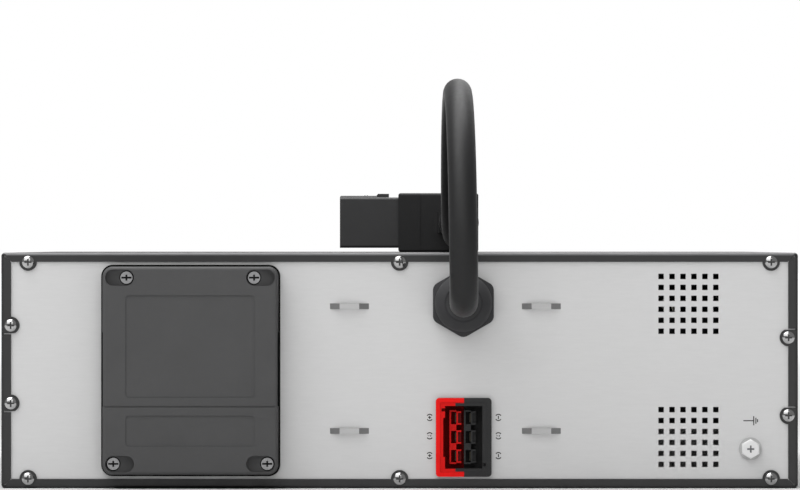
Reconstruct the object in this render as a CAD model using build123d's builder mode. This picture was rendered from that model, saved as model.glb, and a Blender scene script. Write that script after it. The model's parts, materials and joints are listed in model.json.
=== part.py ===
from build123d import *
import math
import os

# External battery pack for an uninterruptible power supply, three rack units high.
# Millimetres. The rear panel faces -Y, +X is to the right of somebody who looks at that panel, +Z is up.
# The origin is the centre of the underside of the chassis.

# Case
case_width = 438.0
case_height = 129.5
case_depth = 570.0
sheet = 1.2
bend_radius = 2.0
rear_bend_radius = 1.6
fit_gap = 0.3
screw_play = 0.05

# Rear flanges, their mitres, screw tabs and relief slits
flange_height = 5.1
flange_width = 5.4
mitre_gap = 0.5
mitre_notch_inset = 2.4
mitre_notch_diameter = 1.9
tab_radius = 4.8
tab_slit = 0.6
tab_slit_offset = 4.6
edge_screw_inset = 5.2
side_screw_inset = 5.3
corner_screw_inset = 14.8
side_screw_from_top = 40.0
side_screw_from_floor = 46.7

# Lid seam and the rims that carry the lid
lid_skirt = 3.0
rim_width = 12.0
wall_edge_radius = 0.8
lid_screws_per_side = 4
lid_screw_end = 33.0
lid_screw_inset = 8.0
dimple_diameter = 13.0
dimple_slope = 30
lid_screw_head = 8.2
lid_screw_shank = 4.0
lid_screw_length = 8.0
countersink_angle = 90

# Rear panel
panel_sheet = 1.0
panel_rim = 11.0
collar_wall = 1.0
collar_length = 2.4
vent_hole = 3.0
vent_pitch = 6.02
vent_count = 6
vent_side_inset = 60.2
vent_end_inset = 28.15
bridge_xs = (-27.6, 77.9)
bridge_from_top = 29.5
bridge_from_floor = 31.5
bridge_length = 21.4
bridge_flat = 10.7
bridge_width = 3.15
bridge_rise = 3.4
bridge_sheet = 0.9

# Pan-head screws round the panel
pan_head = 6.7
pan_head_height = 2.3
pan_edge_height = 0.9
pan_shank = 3.5
pan_length = 8.0
cross_width = 3.9
cross_slot = 0.9
cross_depth = 1.2

# Fuse cover
cover_side_inset = 55.0
cover_end_inset = 6.65
cover_width = 98.4
cover_depth = 16.0
cover_corner = 6.5
cover_flange = 2.5
cover_ledge = 0.8
cover_draft = 1.5
cover_edge = 1.8
cover_wall = 2.4
pocket_length = 15.8
pocket_width = 9.0
pocket_depth = 5.5
pocket_side_inset = 10.6
pocket_end_inset = 7.05
cover_screw_shift = 3.6
cover_screw_head = 6.7
cover_counterbore = 7.8
counterbore_depth = 1.6
cover_screw_shank = 3.5
cover_screw_length = 14.0
cover_slot_width = 1.0
cover_slot_length = 5.6
cover_slot_cross = 3.3
recess_side_inset = 13.85
recess_end_inset = 16.7
recess_groove_gap = 4.9
recess_depth = 0.5
recess_radius = 2.0
groove_from_edge = 38.5
groove_width = 0.9
side_step = 0.6
side_step_from_edge = 79.2
post_wall = 1.1

# Fuse holder, clips and fuses
holder_width = 58.0
holder_post_gap = 1.45
holder_flange = 5.0
holder_flange_thickness = 3.0
holder_depth = 24.0
fuse_pitch = 26.0
fuse_trough_width = 15.0
fuse_trough_length = 58.0
fuse_trough_depth = 14.0
fuse_diameter = 10.3
fuse_length = 38.0
fuse_cap = 8.0
fuse_body_diameter = 9.4
clip_width = 12.5
clip_length = 6.0

# Direct-current socket
socket_x = 35.2
socket_z = 28.0
socket_width = 30.6
socket_height = 43.3
socket_corner = 2.0
socket_flange = 3.0
socket_rim = 2.2
socket_rim_step = 0.4
socket_cavity_width = 20.5
socket_cavity_height = 34.5
socket_cavity_depth = 16.0
socket_wall = 1.6
socket_body_depth = 26.0
socket_lap = 4.8
split_x = 0.2
channel_depth = 1.0
channel_height = 21.5
key_depth = 1.9
key_height = 1.8
key_spread = 30.2
pole_pitch = 8.0
row_pitch = 10.5
rows = 3
comb_width = 3.8
comb_bar = 0.9
comb_recess = 6.5
well_height = 6.8
well_depth = 8.0
post_width = 2.7
post_height = 7.4
post_hollow = 2.5
blade_thickness = 0.7
blade_recess = 2.0

# Gland and lead
gland_x = 35.0
gland_from_top = 27.7
gland_hex = 33.4
gland_hex_corner = 4.5
gland_hex_face = 31.8
gland_hex_thickness = 7.0
hex_chamfer = 60
hex_turn = 30
gland_thread = 24.6
gland_neck = 27.0
gland_neck_length = 5.0
gland_dome = 31.5
gland_dome_length = 15.0
gland_skirt = 3.5
gland_nose = 21.0
gland_inner_length = 13.0
locknut_thickness = 5.0
seal_diameter = 19.0
seal_proud = 1.5
lead_diameter = 15.6
lead_entry_length = 14.0

# Ground screw
ground_side_inset = 26.2
ground_z = 21.65
ground_hex = 9.4
ground_hex_face = 8.8
ground_hex_height = 4.0
ground_washer = 12.6
ground_washer_thickness = 1.2
ground_shank = 5.0
ground_length = 13.0

# Plug on the lead, lying on the lid
plug_y = 59.4
plug_nose = 70.5
plug_nose_height = 43.7
plug_nose_thickness = 30.0
plug_collar_start = 35.8
plug_collar_end = 22.9
plug_collar_height = 52.4
plug_elbow_height = 51.4
plug_thickness = 35.0
plug_elbow_end = 11.7
plug_elbow_radius = 17.0
plug_leg = 23.5
plug_leg_length = 46.4
plug_edge = 1.5
plateau_width = 26.9
plateau_end = 48.2
plateau_rise = 1.0
plateau_bevel = 0.6
tongue_root = 62.7
tongue_width = 6.9
tongue_slit = 0.9
pad_opening_start = 50.6
pad_opening_end = 40.5
pad_opening_width = 15.8
pad_rise = 2.2
pad_ramp = 1.8
ridge_place = 55.0
ridge_pitch = 1.5
ridge_width = 0.6
ridge_rise = 0.35
top_rib_start = 69.0
top_rib_end = 56.0
top_rib_offset = 19.6
top_rib_width = 2.2
cross_mark_place = 42.0
cross_mark_spread = 29.0
cross_mark_length = 7.2
cross_mark_width = 0.35
cross_mark_depth = 0.3
mouth_wall = 4.6
mouth_depth = 8.0
cell_pitch = 10.5
cell_size = 5.2
cell_depth = 7.0
pin_width = 3.6
pin_thickness = 1.0
relief_starts = (31.4, 36.3, 41.0)
relief_groove = 1.9
relief_core = 16.4
relief_web = 6.0
elbow_web = 2.5
elbow_web_thickness = 12.0

# Trays, blocks and what is inside
bay_depth = 93.5
tray_side_room = 1.6
tray_wall = 30.0
block_width = 65.0
block_length = 151.0
block_height = 94.0
block_chamfer = 1.5
terminal_width = 6.35
terminal_height = 6.0
terminal_thickness = 0.8
terminal_spread = 38.0
terminal_inset = 15.0
link_diameter = 4.0
strap_width = 25.0
strap_sheet = 1.5
strap_room = 0.2
strap_pad = 3.0
strap_drop = 84.0
foam_height = 60.0
connector_width = 50.0
connector_depth = 25.0
connector_height = 34.0
inner_lead = 6.0
bay_loop = 48.0
bend_share = 0.45

# Front panel and bezel
front_rim = 14.0
bezel_depth = 30.0
bezel_wall = 2.2
bezel_side_margin = 29.0
bezel_middle = 40.0
bezel_slot_height = 4.0
bezel_slot_pitch = 10.0
bezel_slots = 9
ear_hole = 4.2
ear_spacing_y = 25.0
ear_spacing_z = 50.8
ear_inset = 35.0

# Places that follow from the sizes above
inner_width = case_width - 2 * sheet
mid_height = case_height / 2
seam_z = case_height - lid_skirt
rear = Plane.XZ.offset(case_depth / 2)
panel_face = rear.offset(-sheet)
panel_back = panel_face.offset(-panel_sheet)
panel_face_y = -case_depth / 2 + sheet
panel_back_y = panel_face_y + panel_sheet
front_y = case_depth / 2
corner_signs = [(side, top) for side in (-1, 1) for top in (-1, 1)]

corner_screw_x = case_width / 2 - corner_screw_inset
edge_screws = [
    (x, z)
    for z in (edge_screw_inset, case_height - edge_screw_inset)
    for x in (-corner_screw_x, 0, corner_screw_x)
]
left_side_screws = [
    (-case_width / 2 + side_screw_inset, z)
    for z in (case_height - side_screw_from_top, side_screw_from_floor)
]
right_side_screws = [(-x, case_height - z) for x, z in left_side_screws]
frame_screw_places = edge_screws + left_side_screws + right_side_screws

lid_screw_x = case_width / 2 - lid_screw_inset
lid_screw_pitch = (case_depth - 2 * lid_screw_end) / (lid_screws_per_side - 1)
lid_screw_places = [
    (side * lid_screw_x, lid_screw_end - case_depth / 2 + lid_screw_pitch * n)
    for side in (-1, 1)
    for n in range(lid_screws_per_side)
]

vent_x = case_width / 2 - vent_side_inset
vent_heights = (case_height - vent_end_inset, vent_end_inset)
bridge_heights = (case_height - bridge_from_top, bridge_from_floor)
ground_x = case_width / 2 - ground_side_inset
gland_z = case_height - gland_from_top

cover_x = -case_width / 2 + cover_side_inset + cover_width / 2
cover_z = mid_height
cover_height = case_height - 2 * cover_end_inset
pocket_x = cover_width / 2 - pocket_side_inset
pocket_z = cover_height / 2 - pocket_end_inset
pocket_places = [(cover_x + side * pocket_x, cover_z + top * pocket_z) for side, top in corner_signs]
# The screws sit at the inner ends of the upper pockets and at the outer ends of the lower ones
cover_screw_places = [
    (cover_x + side * (pocket_x - top * cover_screw_shift), cover_z + top * pocket_z)
    for side, top in corner_signs
]
# The fuse holder's flange ends short of the posts inside the cover
holder_height = 2 * (pocket_z - pocket_width / 2 - post_wall - holder_post_gap - holder_flange)

os.makedirs("parts", exist_ok=True)


def write(builder, name):
    """Labels a finished piece and writes its STEP file."""
    builder.part.label = name
    export_step(builder.part, f"parts/{name}.step")


def case_outline(inset):
    """Draws the case's cross section in the open sketch, inset by a wall or nothing."""
    with Locations((0, mid_height)):
        RectangleRounded(case_width - 2 * inset, case_height - 2 * inset, max(bend_radius - inset, fit_gap))


def cross(width, slot):
    """Draws a cross recess in the open sketch."""
    Rectangle(width, slot)
    Rectangle(slot, width)


def cone_base(face_diameter, height):
    """Draws the base of the cone that leaves a round front face on a turned hexagon."""
    Circle(face_diameter / 2 + height * math.tan(math.radians(hex_chamfer)))


def inner_mitre_corner(side, top):
    """The point where two rear flanges meet at the opening."""
    return side * (case_width / 2 - flange_width), mid_height + top * (mid_height - flange_height)


def route_radii(points):
    """The radius of each corner of a lead's route: as large as its two runs allow."""
    radii = []
    for before, corner, after in zip(points, points[1:], points[2:]):
        run_in = Vector(corner) - Vector(before)
        run_out = Vector(after) - Vector(corner)
        half_turn = math.radians(run_in.get_angle(run_out)) / 2
        radii.append(bend_share * min(run_in.length, run_out.length) / math.tan(half_turn))
    return radii


# Folded wrap: lid and chassis are two parts of one outer form
with BuildPart() as wrap:
    with BuildSketch(rear):
        case_outline(0)
    extrude(amount=-case_depth)
    fillet(wrap.faces().sort_by(Axis.Y)[0].edges(), rear_bend_radius)
    with BuildSketch(panel_face):
        case_outline(sheet)
    extrude(amount=-case_depth, mode=Mode.SUBTRACT)
    # Opening that the rear flanges leave, with a tab round each screw
    with BuildSketch(rear):
        with Locations((0, mid_height)):
            Rectangle(case_width - 2 * flange_width, case_height - 2 * flange_height)
        with Locations(*frame_screw_places):
            Circle(tab_radius, mode=Mode.SUBTRACT)
    extrude(amount=2 * sheet, both=True, mode=Mode.SUBTRACT)
    # Mitres with their bend notches
    mitre_angle = math.degrees(math.atan2(flange_height, flange_width))
    mitre_length = math.hypot(flange_height, flange_width)
    with BuildSketch(rear):
        for side, top in corner_signs:
            corner_x, corner_z = inner_mitre_corner(side, top)
            slit_length = 2 * (mitre_length - mitre_notch_inset)
            with Locations((corner_x, corner_z)):
                Rectangle(slit_length, mitre_gap, rotation=side * top * mitre_angle)
            reach = 1 - mitre_notch_inset / mitre_length
            notch = (corner_x + side * flange_width * reach, corner_z + top * flange_height * reach)
            with Locations(notch):
                Circle(mitre_notch_diameter / 2)
        # Relief slits beside the side tabs
        with Locations(*[(x, z - tab_slit_offset) for x, z in left_side_screws]):
            Rectangle(2 * side_screw_inset, tab_slit)
        with Locations(*[(x, z + tab_slit_offset) for x, z in right_side_screws]):
            Rectangle(2 * side_screw_inset, tab_slit)
        with Locations(*frame_screw_places):
            Circle(pan_shank / 2 + fit_gap)
    extrude(amount=sheet, both=True, mode=Mode.SUBTRACT)

# What belongs to the lid: its rear flange between the mitres, and all above the seam
with BuildPart() as lid_zone:
    left_inner = inner_mitre_corner(-1, 1)
    right_inner = inner_mitre_corner(1, 1)
    tab_line = case_height - edge_screw_inset - 2 * tab_radius
    with BuildSketch(rear.offset(sheet)):
        Polygon(
            (-case_width / 2, case_height),
            left_inner,
            (left_inner[0], tab_line),
            (right_inner[0], tab_line),
            right_inner,
            (case_width / 2, case_height),
        )
    extrude(amount=-2 * sheet)
    with BuildSketch(Plane.XY.offset(seam_z)):
        with Locations((0, sheet)):
            Rectangle(2 * case_width, case_depth)
    extrude(amount=2 * lid_skirt)

with BuildPart() as top_cover:
    add(wrap.part)
    add(lid_zone.part, mode=Mode.INTERSECT)
    # Pressed dimples that bring the lid down to the rims
    with BuildSketch(Plane.XY.offset(seam_z)):
        with Locations(*lid_screw_places):
            Circle(dimple_diameter / 2)
    extrude(amount=lid_skirt - sheet, taper=-dimple_slope)
    with Locations(*[(x, y, case_height) for x, y in lid_screw_places]):
        CounterSinkHole(
            radius=lid_screw_shank / 2 + screw_play,
            counter_sink_radius=lid_screw_head / 2 + fit_gap,
            depth=2 * lid_skirt,
            counter_sink_angle=countersink_angle,
        )
write(top_cover, "top_cover")

with BuildPart() as base_chassis:
    add(wrap.part)
    add(lid_zone.part, mode=Mode.SUBTRACT)
    long_edges = base_chassis.edges().filter_by(Axis.Y)
    top_edges = long_edges.filter_by_position(Axis.Z, seam_z - sheet, seam_z + sheet)
    outer_edges = top_edges.filter_by(lambda edge: abs(edge.center().X) > (case_width - sheet) / 2)
    fillet(outer_edges, wall_edge_radius)
    # Rims turned in from the walls, which carry the lid
    rim_length = case_depth - sheet - panel_sheet - panel_rim - front_rim - 2 * fit_gap
    rim_mid_y = (panel_back_y + panel_rim + front_y - front_rim) / 2
    with BuildSketch(Plane.XY.offset(seam_z - sheet)):
        for side in (-1, 1):
            with Locations((side * (inner_width - rim_width) / 2, rim_mid_y)):
                Rectangle(rim_width, rim_length)
    extrude(amount=sheet)
    with Locations(*[(x, y, seam_z) for x, y in lid_screw_places]):
        Hole(radius=lid_screw_shank / 2 + screw_play, depth=2 * sheet)
    # Threaded holes for rack ears near the front of both walls
    with BuildSketch(Plane.YZ):
        with Locations((front_y - ear_inset, mid_height)):
            with GridLocations(ear_spacing_y, ear_spacing_z, 2, 2):
                Circle(ear_hole / 2)
    extrude(amount=case_width, both=True, mode=Mode.SUBTRACT)
write(base_chassis, "base_chassis")

# Rear panel: a tray of thin sheet behind the flanges
with BuildPart() as rear_panel:
    with BuildSketch(panel_face):
        case_outline(sheet + fit_gap)
    extrude(amount=-panel_sheet - panel_rim)
    with BuildSketch(panel_back):
        case_outline(sheet + fit_gap + panel_sheet / 2)
    extrude(amount=-2 * panel_rim, mode=Mode.SUBTRACT)
    # Drawn collars that take the screws
    with BuildSketch(panel_back):
        with Locations(*frame_screw_places, *cover_screw_places):
            Circle(pan_shank / 2 + collar_wall)
        with Locations((ground_x, ground_z)):
            Circle(ground_shank / 2 + 2 * collar_wall)
    extrude(amount=-collar_length)
    with BuildSketch(panel_face):
        with Locations(*frame_screw_places, *cover_screw_places):
            Circle(pan_shank / 2 + screw_play)
        with Locations((ground_x, ground_z)):
            Circle(ground_shank / 2 + screw_play)
        with Locations((gland_x, gland_z)):
            Circle(gland_thread / 2 + fit_gap)
        with Locations((socket_x, socket_z)):
            socket_room = 2 * (socket_wall + fit_gap)
            Rectangle(socket_cavity_width + socket_room, socket_cavity_height + socket_room)
        with Locations((cover_x, cover_z)):
            Rectangle(holder_width + 2 * fit_gap, holder_height + 2 * fit_gap)
        for z in vent_heights:
            with Locations((vent_x, z)):
                with GridLocations(vent_pitch, vent_pitch, vent_count, vent_count):
                    Rectangle(vent_hole, vent_hole)
        with Locations(*[(x, z) for x in bridge_xs for z in bridge_heights]):
            Rectangle(bridge_length, bridge_width)
    extrude(amount=-2 * collar_length, mode=Mode.SUBTRACT)
    # Lanced bridges for cable ties
    for bridge_z in bridge_heights:
        with BuildSketch(Plane.XY.offset(bridge_z - bridge_width / 2)):
            for bridge_x in bridge_xs:
                crest_y = panel_face_y - bridge_rise
                Polygon(
                    (bridge_x - bridge_length / 2, panel_face_y),
                    (bridge_x - bridge_flat / 2, crest_y),
                    (bridge_x + bridge_flat / 2, crest_y),
                    (bridge_x + bridge_length / 2, panel_face_y),
                    (bridge_x + bridge_length / 2, panel_back_y),
                    (bridge_x + bridge_flat / 2, crest_y + bridge_sheet),
                    (bridge_x - bridge_flat / 2, crest_y + bridge_sheet),
                    (bridge_x - bridge_length / 2, panel_back_y),
                )
        extrude(amount=bridge_width)
write(rear_panel, "rear_panel")

# Pan-head screw, turned about its axis with its seat at the origin
with BuildPart() as pan_screw:
    with BuildSketch(Plane.XZ):
        with BuildLine():
            Polyline(
                (0, pan_head_height),
                (0, -pan_length),
                (pan_shank / 2, -pan_length),
                (pan_shank / 2, 0),
                (pan_head / 2, 0),
                (pan_head / 2, pan_edge_height),
            )
            TangentArc((0, pan_head_height), (pan_head / 2, pan_edge_height), tangent=(1, 0))
        make_face()
    revolve(axis=Axis.Z)
    with BuildSketch(Plane.XY.offset(pan_head_height)):
        cross(cross_width, cross_slot)
    extrude(amount=-cross_depth, mode=Mode.SUBTRACT)

with BuildPart(rear) as frame_screws:
    with Locations(*frame_screw_places):
        add(pan_screw.part)
write(frame_screws, "frame_screws")

# Lid screws, flush in their dimples
with BuildPart() as lid_screws:
    with BuildSketch(Plane.XY.offset(case_height)):
        with Locations(*lid_screw_places):
            Circle(lid_screw_head / 2)
    extrude(amount=-(lid_screw_head - lid_screw_shank) / 2, taper=countersink_angle / 2)
    with BuildSketch(Plane.XY.offset(case_height)):
        with Locations(*lid_screw_places):
            Circle(lid_screw_shank / 2)
    extrude(amount=-lid_screw_length)
    with BuildSketch(Plane.XY.offset(case_height)):
        with Locations(*lid_screw_places):
            cross(cross_width, cross_slot)
    extrude(amount=-cross_depth, mode=Mode.SUBTRACT)
write(lid_screws, "lid_screws")

# Fuse cover: a deep moulded cap on a thin flange, with sunk screw pockets
cover_front = panel_face.offset(cover_depth)
pocket_floor = cover_depth - pocket_depth
cover_low = cover_z - cover_height / 2
cover_high = cover_z + cover_height / 2
groove_z = cover_low + groove_from_edge
side_step_top = cover_low + side_step_from_edge
recess_bands = [
    (cover_low + recess_end_inset, groove_z - recess_groove_gap),
    (groove_z + recess_groove_gap, cover_high - recess_end_inset),
]
with BuildPart() as fuse_cover:
    with BuildSketch(panel_face):
        with Locations((cover_x, cover_z)):
            RectangleRounded(cover_width, cover_height, cover_corner)
    extrude(amount=cover_flange)
    with BuildSketch(panel_face):
        with Locations((cover_x, cover_z)):
            RectangleRounded(
                cover_width - 2 * cover_ledge, cover_height - 2 * cover_ledge, cover_corner - cover_ledge
            )
    extrude(amount=cover_depth, taper=cover_draft)
    fillet(fuse_cover.faces().sort_by(Axis.Y)[0].edges(), cover_edge)
    with BuildSketch(panel_face):
        with Locations((cover_x, cover_z)):
            RectangleRounded(
                cover_width - 2 * cover_wall, cover_height - 2 * cover_wall, cover_corner - cover_wall
            )
        # Posts that carry the screws stay solid
        with Locations(*pocket_places):
            SlotOverall(pocket_length + 2 * post_wall, pocket_width + 2 * post_wall, mode=Mode.SUBTRACT)
    extrude(amount=cover_depth - cover_wall, mode=Mode.SUBTRACT)
    with BuildSketch(cover_front):
        with Locations(*pocket_places):
            SlotOverall(pocket_length, pocket_width)
    extrude(amount=-pocket_depth, mode=Mode.SUBTRACT)
    with BuildSketch(panel_face.offset(pocket_floor)):
        with Locations(*cover_screw_places):
            Circle(cover_counterbore / 2)
    extrude(amount=-counterbore_depth, mode=Mode.SUBTRACT)
    with BuildSketch(panel_face):
        with Locations(*cover_screw_places):
            Circle(cover_screw_shank / 2 + screw_play)
    extrude(amount=cover_depth, mode=Mode.SUBTRACT)
    # Shallow fields, the groove between them, and the sides stepped in for the fingers above the flange
    with BuildSketch(cover_front):
        for low_z, high_z in recess_bands:
            with Locations((cover_x, (low_z + high_z) / 2)):
                RectangleRounded(cover_width - 2 * recess_side_inset, high_z - low_z, recess_radius)
        with Locations((cover_x, groove_z)):
            Rectangle(cover_width, groove_width)
    extrude(amount=-recess_depth, mode=Mode.SUBTRACT)
    with BuildSketch(panel_face.offset(cover_flange)):
        for side in (-1, 1):
            side_x = cover_x + side * (cover_width / 2 - cover_ledge)
            with Locations((side_x, (groove_z + side_step_top) / 2)):
                Rectangle(2 * side_step, side_step_top - groove_z)
    extrude(amount=cover_depth, mode=Mode.SUBTRACT)
write(fuse_cover, "fuse_cover")

# Fuse cover screws: cheese heads with a wide slot and a short cross slot
cover_seat = panel_face.offset(pocket_floor - counterbore_depth)
with BuildPart() as fuse_cover_screws:
    with BuildSketch(cover_seat):
        with Locations(*cover_screw_places):
            Circle(cover_screw_head / 2)
    extrude(amount=pan_head_height)
    with BuildSketch(cover_seat):
        with Locations(*cover_screw_places):
            Circle(cover_screw_shank / 2)
    extrude(amount=-cover_screw_length)
    with BuildSketch(cover_seat.offset(pan_head_height)):
        with Locations(*cover_screw_places):
            Rectangle(cover_slot_length, cover_slot_width)
            Rectangle(cover_slot_width, cover_slot_cross)
    extrude(amount=-cross_depth, mode=Mode.SUBTRACT)
write(fuse_cover_screws, "fuse_cover_screws")

# Fuse holder: a moulded block through the panel with a trough for each fuse
fuse_xs = [cover_x + side * fuse_pitch / 2 for side in (-1, 1)]
holder_front = panel_face.offset(holder_flange_thickness)
fuse_axis_y = panel_face_y - holder_flange_thickness + fuse_trough_depth - fuse_diameter / 2 - fit_gap
with BuildPart() as fuse_holder:
    with BuildSketch(panel_face):
        with Locations((cover_x, cover_z)):
            Rectangle(holder_width + 2 * holder_flange, holder_height + 2 * holder_flange)
    extrude(amount=holder_flange_thickness)
    with BuildSketch(panel_face):
        with Locations((cover_x, cover_z)):
            Rectangle(holder_width, holder_height)
    extrude(amount=-holder_depth)
    with BuildSketch(holder_front):
        with Locations(*[(x, cover_z) for x in fuse_xs]):
            Rectangle(fuse_trough_width, fuse_trough_length)
    extrude(amount=-fuse_trough_depth, mode=Mode.SUBTRACT)
write(fuse_holder, "fuse_holder")

fuse_cap_offset = (fuse_length - fuse_cap) / 2
with BuildPart() as fuses:
    for fuse_x in fuse_xs:
        with BuildSketch(Plane((fuse_x, fuse_axis_y, cover_z - fuse_length / 2))):
            Circle(fuse_body_diameter / 2)
        extrude(amount=fuse_length)
        for low in (0, fuse_length - fuse_cap):
            with BuildSketch(Plane((fuse_x, fuse_axis_y, cover_z - fuse_length / 2 + low))):
                Circle(fuse_diameter / 2)
            extrude(amount=fuse_cap)
write(fuses, "fuses")

# Spring clips that hold the fuse caps against the trough's floor
with BuildPart() as fuse_clips:
    for clip_z in (cover_z - fuse_cap_offset, cover_z + fuse_cap_offset):
        for fuse_x in fuse_xs:
            with BuildSketch(Plane((fuse_x, fuse_axis_y, clip_z - clip_length / 2))):
                with Locations((0, (fuse_diameter / 2 + fit_gap - clip_length / 2) / 2)):
                    Rectangle(clip_width, fuse_diameter / 2 + fit_gap + clip_length / 2)
                Circle(fuse_diameter / 2 + screw_play, mode=Mode.SUBTRACT)
            extrude(amount=clip_length)
write(fuse_clips, "fuse_clips")


# Socket: each half holds a comb of three wells and, beside each well, a post hollowed on its right
socket_plane = panel_face.shift_origin(panel_face.from_local_coords((socket_x, socket_z)))
socket_face = socket_plane.offset(socket_flange)
comb_face = socket_face.offset(-comb_recess)
comb_height = (rows - 1) * row_pitch + well_height + 2 * comb_bar
comb_rise = socket_cavity_depth - comb_recess


def socket_half(side):
    """One half of the socket: -1 is the red half on the left, 1 the black half on the right."""
    comb_left = split_x if side > 0 else split_x - pole_pitch
    comb_right = comb_left + comb_width
    with BuildPart() as half:
        with BuildSketch(socket_plane):
            RectangleRounded(socket_width, socket_height, socket_corner)
        extrude(amount=socket_flange)
        with BuildSketch(socket_plane):
            Rectangle(socket_cavity_width + 2 * socket_wall, socket_cavity_height + 2 * socket_wall)
        extrude(amount=-socket_body_depth)
        # The face inside the rim lies a little lower
        with BuildSketch(socket_face):
            RectangleRounded(
                socket_width - 2 * socket_rim, socket_height - 2 * socket_rim, socket_corner / 2
            )
        extrude(amount=-socket_rim_step, mode=Mode.SUBTRACT)
        # Cavity with a side channel and two key notches
        with BuildSketch(socket_face):
            Rectangle(socket_cavity_width, socket_cavity_height)
            with Locations((-socket_cavity_width / 2, 0)):
                Rectangle(2 * channel_depth, channel_height)
        extrude(amount=-socket_cavity_depth, mode=Mode.SUBTRACT)
        with BuildSketch(socket_face):
            for sign in (-1, 1):
                with Locations((sign * socket_cavity_width / 2, -sign * key_spread / 2)):
                    Rectangle(2 * key_depth, key_height)
        extrude(amount=-socket_flange, mode=Mode.SUBTRACT)
        # Comb and posts
        with BuildSketch(comb_face):
            with Locations(((comb_left + comb_right) / 2, 0)):
                Rectangle(comb_width, comb_height)
            with Locations((comb_right + post_width / 2, 0)):
                with GridLocations(pole_pitch, row_pitch, 1, rows):
                    Rectangle(post_width, post_height)
        extrude(amount=-comb_rise)
        with BuildSketch(comb_face):
            with Locations((comb_left + (comb_bar + comb_width) / 2, 0)):
                with GridLocations(pole_pitch, row_pitch, 1, rows):
                    Rectangle(comb_width - comb_bar, well_height)
        extrude(amount=-well_depth, mode=Mode.SUBTRACT)
        with BuildSketch(comb_face):
            with Locations((comb_right + (comb_bar + post_width) / 2, 0)):
                with GridLocations(pole_pitch, row_pitch, 1, rows):
                    Rectangle(post_width - comb_bar, post_height - 2 * comb_bar)
        extrude(amount=-post_hollow, mode=Mode.SUBTRACT)
        # Each half keeps its own side; the black half's wall laps over the red one's at top and bottom
        with BuildSketch(socket_face):
            with Locations((split_x - side * socket_width / 2, 0)):
                Rectangle(socket_width, 2 * socket_height)
            for sign in (-1, 1):
                with Locations((split_x - socket_lap / 2, sign * (socket_cavity_height + socket_wall) / 2)):
                    Rectangle(socket_lap, socket_wall, mode=Mode.SUBTRACT if side > 0 else Mode.ADD)
        extrude(amount=-(socket_flange + socket_body_depth), mode=Mode.SUBTRACT)
    return half


socket_red_half = socket_half(-1)
write(socket_red_half, "socket_red_half")
socket_black_half = socket_half(1)
write(socket_black_half, "socket_black_half")

# A flat contact in each well, against the post
with BuildPart() as socket_contacts:
    with BuildSketch(comb_face.offset(-well_depth)):
        with Locations((split_x - pole_pitch / 2 + comb_width - blade_thickness / 2, 0)):
            with GridLocations(pole_pitch, row_pitch, 2, rows):
                Rectangle(blade_thickness, well_height - 2 * comb_bar)
    extrude(amount=well_depth - blade_recess)
write(socket_contacts, "socket_contacts")

# Gland: body with its hex flange, domed nut, rubber seal, and the lock nut behind the panel
gland_plane = panel_face.shift_origin(panel_face.from_local_coords((gland_x, gland_z)))
with BuildPart() as gland_body:
    with BuildSketch(gland_plane):
        RegularPolygon(gland_hex / 2, 6, major_radius=False, rotation=hex_turn)
    extrude(amount=gland_hex_thickness)
    fillet(gland_body.edges().filter_by(Axis.Y), gland_hex_corner)
    with BuildSketch(gland_plane):
        cone_base(gland_hex_face, gland_hex_thickness)
    extrude(amount=gland_hex_thickness, taper=hex_chamfer, mode=Mode.INTERSECT)
    with BuildSketch(gland_plane):
        Circle(gland_neck / 2)
    extrude(amount=gland_hex_thickness + gland_neck_length)
    with BuildSketch(gland_plane):
        Circle(gland_thread / 2)
    extrude(amount=-gland_inner_length)
    with BuildSketch(gland_plane):
        Circle(lead_diameter / 2)
    bore_reach = gland_hex_thickness + gland_neck_length + gland_inner_length
    extrude(amount=bore_reach, both=True, mode=Mode.SUBTRACT)
write(gland_body, "gland_body")

dome_plane = gland_plane.offset(gland_hex_thickness)
dome_top = gland_hex_thickness + gland_dome_length
with BuildPart() as gland_nut:
    with BuildSketch(Plane(dome_plane.origin, x_dir=(1, 0, 0), z_dir=(0, 0, 1))):
        with BuildLine():
            Polyline(
                (gland_dome / 2, -gland_skirt),
                (gland_dome / 2, 0),
                (0, 0),
                (0, -gland_dome_length),
                (gland_nose / 2, -gland_dome_length),
            )
            TangentArc((gland_dome / 2, -gland_skirt), (gland_nose / 2, -gland_dome_length), tangent=(0, -1))
        make_face()
    revolve(axis=Axis(dome_plane.origin, (0, 1, 0)))
    with BuildSketch(dome_plane):
        Circle(gland_neck / 2 + screw_play)
    extrude(amount=gland_neck_length + fit_gap, mode=Mode.SUBTRACT)
    with BuildSketch(dome_plane):
        Circle(seal_diameter / 2)
    extrude(amount=gland_dome_length, mode=Mode.SUBTRACT)
write(gland_nut, "gland_nut")

with BuildPart() as gland_seal:
    with BuildSketch(gland_plane.offset(gland_hex_thickness + gland_neck_length)):
        Circle(seal_diameter / 2)
        Circle(lead_diameter / 2, mode=Mode.SUBTRACT)
    extrude(amount=gland_dome_length - gland_neck_length + seal_proud)
write(gland_seal, "gland_seal")

with BuildPart() as gland_locknut:
    with BuildSketch(panel_back.shift_origin(panel_back.from_local_coords((gland_x, gland_z)))):
        RegularPolygon(gland_hex / 2, 6, major_radius=False, rotation=hex_turn)
        Circle(gland_thread / 2, mode=Mode.SUBTRACT)
    extrude(amount=-locknut_thickness)
write(gland_locknut, "gland_locknut")

# The lead inside the gland, up to where it parts
lead_exit = dome_top + seal_proud
with BuildPart() as lead_entry:
    with BuildSketch(gland_plane.offset(lead_exit)):
        Circle(lead_diameter / 2)
    extrude(amount=-(lead_exit + gland_inner_length + lead_entry_length))
write(lead_entry, "lead_entry")

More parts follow.
